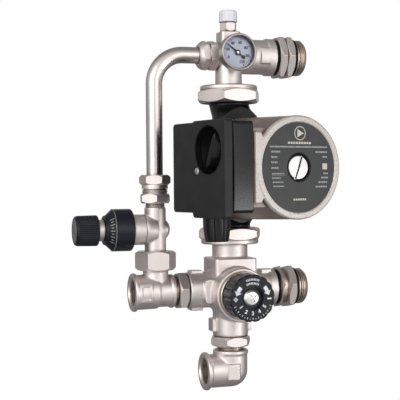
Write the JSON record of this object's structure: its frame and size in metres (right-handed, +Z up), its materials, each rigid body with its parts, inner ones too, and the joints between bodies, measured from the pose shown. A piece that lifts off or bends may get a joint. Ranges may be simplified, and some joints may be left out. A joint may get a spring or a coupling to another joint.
{
  "type": "underfloor heating manifold",
  "caption": "Pump and mixing group for an underfloor heating manifold: wet-rotor circulator, mixing valve with knob, bypass pipe and valve, dial thermometer and threaded connections.",
  "frame": {"origin": "centre of the lower manifold connection, in the plane of its threaded end", "axes": "+X leaves the connections towards the manifold bars, -Y is the front, where the knobs and the dial face, and +Z is up, along the longest extent"},
  "size_m": [0.2172, 0.1439, 0.3479],
  "materials": {
    "nickel_brass": "satin nickel plating over brass",
    "nickel_pipe": "polished nickel plating over a drawn pipe",
    "bright_steel": "bright turned steel",
    "copper": "bare copper alloy",
    "black_iron": "black cataphoresis paint on cast iron",
    "motor_aluminium": "brown-grey die-cast shell",
    "front_aluminium": "pale, finely grained casting",
    "grey_label": "dark grey printed film",
    "dark_plastic": "fine moulded grain",
    "blue_black_plastic": "semi-gloss moulding",
    "white_plastic": "translucent white moulding",
    "rubber": "matt black",
    "dial_white": "pale blue-grey paint with dark marks",
    "clear_lens": "clear"
  },
  "bodies": {
    "root": {"bearing_plate": "bright_steel", "bypass_bonnet": "nickel_brass", "bypass_pipe": "nickel_pipe", "bypass_scale_collar": "dark_plastic", "bypass_spring": "bright_steel", "bypass_union_gasket": "rubber", "bypass_union_nut": "nickel_brass", "bypass_valve_body": "nickel_brass", "cable_gland": "dark_plastic", "cable_gland_nut": "dark_plastic", "cover_screw": "bright_steel", "label_disc": "grey_label", "lower_nipple": "nickel_brass", "lower_outlet_lock_nut": "nickel_brass", "lower_outlet_nipple": "nickel_brass", "lower_outlet_o_ring": "rubber", "lower_pipe_adapter": "nickel_brass", "lower_pipe_ferrule": "copper", "lower_pipe_nut": "nickel_brass", "lower_union_gasket": "rubber", "lower_union_nut": "nickel_brass", "mixing_bonnet": "nickel_brass", "mixing_valve_body": "nickel_brass", "motor_front_plate": "front_aluminium", "pump_volute": "black_iron", "return_elbow": "nickel_brass", "return_nipple": "nickel_brass", "return_tee": "nickel_brass", "rotor_can": "bright_steel", "stator_housing": "motor_aluminium", "stator_winding": "copper", "terminal_box_base": "dark_plastic", "terminal_box_cover": "dark_plastic", "thermometer_bezel": "bright_steel", "thermometer_case": "bright_steel", "thermometer_dial": "dial_white", "thermometer_lens": "clear_lens", "top_outlet_lock_nut": "nickel_brass", "top_outlet_nipple": "nickel_brass", "top_outlet_o_ring": "rubber", "top_pipe_ferrule": "copper", "top_pipe_nut": "nickel_brass", "top_tee_body": "nickel_brass", "upper_union_gasket": "rubber", "upper_union_nut": "nickel_brass", "vent_body": "nickel_brass"},
    "rotor": {"pump_impeller": "dark_plastic", "rotor_shaft": "bright_steel", "rotor_core": "bright_steel"},
    "vent_screw": {"pump_vent_screw": "bright_steel"},
    "speed_knob": {"speed_selector": "dark_plastic"},
    "mixing_dial": {"mixing_knob": "blue_black_plastic", "mixing_knob_screw": "bright_steel", "mixing_spindle": "nickel_brass"},
    "mixing_slider": {"mixing_piston": "nickel_brass"},
    "bypass_dial": {"bypass_knob": "blue_black_plastic"},
    "bypass_slider": {"bypass_plunger": "nickel_brass"},
    "needle": {"thermometer_needle": "rubber"},
    "air_cap": {"vent_cap": "white_plastic"}
  },
  "joints": [
    {"name": "rotor_spin", "type": "hinge", "parent": "root", "child": "rotor", "pos_m": [-0.072, 0, 0.11], "axis": [0.2419, -0.9703, 0], "continuous": true},
    {"name": "vent_screw_turn", "type": "hinge", "parent": "root", "child": "vent_screw", "pos_m": [-0.04744, -0.09849, 0.11], "axis": [0.2419, -0.9703, 0], "range_deg": [0, 360]},
    {"name": "speed_selector_turn", "type": "hinge", "parent": "root", "child": "speed_knob", "pos_m": [-0.11353, -0.08971, 0.1245], "axis": [-0.9703, -0.2419, 0], "range_deg": [-45, 45]},
    {"name": "mixing_knob_turn", "type": "hinge", "parent": "root", "child": "mixing_dial", "pos_m": [-0.072, -0.047, -0.0032], "axis": [0, -1, 0], "range_deg": [0, 270]},
    {"name": "mixing_piston_slide", "type": "slide", "parent": "root", "child": "mixing_slider", "axis": [0, 1, 0], "range_m": [0, 0.004]},
    {"name": "bypass_knob_turn", "type": "hinge", "parent": "root", "child": "bypass_dial", "pos_m": [-0.2032, 0, 0.0562], "axis": [-1, 0, 0], "range_deg": [0, 270]},
    {"name": "bypass_plunger_slide", "type": "slide", "parent": "root", "child": "bypass_slider", "axis": [1, 0, 0], "range_m": [0, 0.003]},
    {"name": "thermometer_needle_swing", "type": "hinge", "parent": "root", "child": "needle", "pos_m": [-0.072, -0.025, 0.2143], "axis": [0, -1, 0], "range_deg": [-204, 66]},
    {"name": "vent_cap_turn", "type": "hinge", "parent": "root", "child": "air_cap", "pos_m": [-0.072, 0, 0.245], "axis": [0, 0, 1], "range_deg": [0, 270]}
  ],
  "couplings": [
    {"joint": "mixing_piston_slide", "follows": "mixing_knob_turn", "m_per_rad": 0.000848},
    {"joint": "bypass_plunger_slide", "follows": "bypass_knob_turn", "m_per_rad": 0.000636}
  ]
}
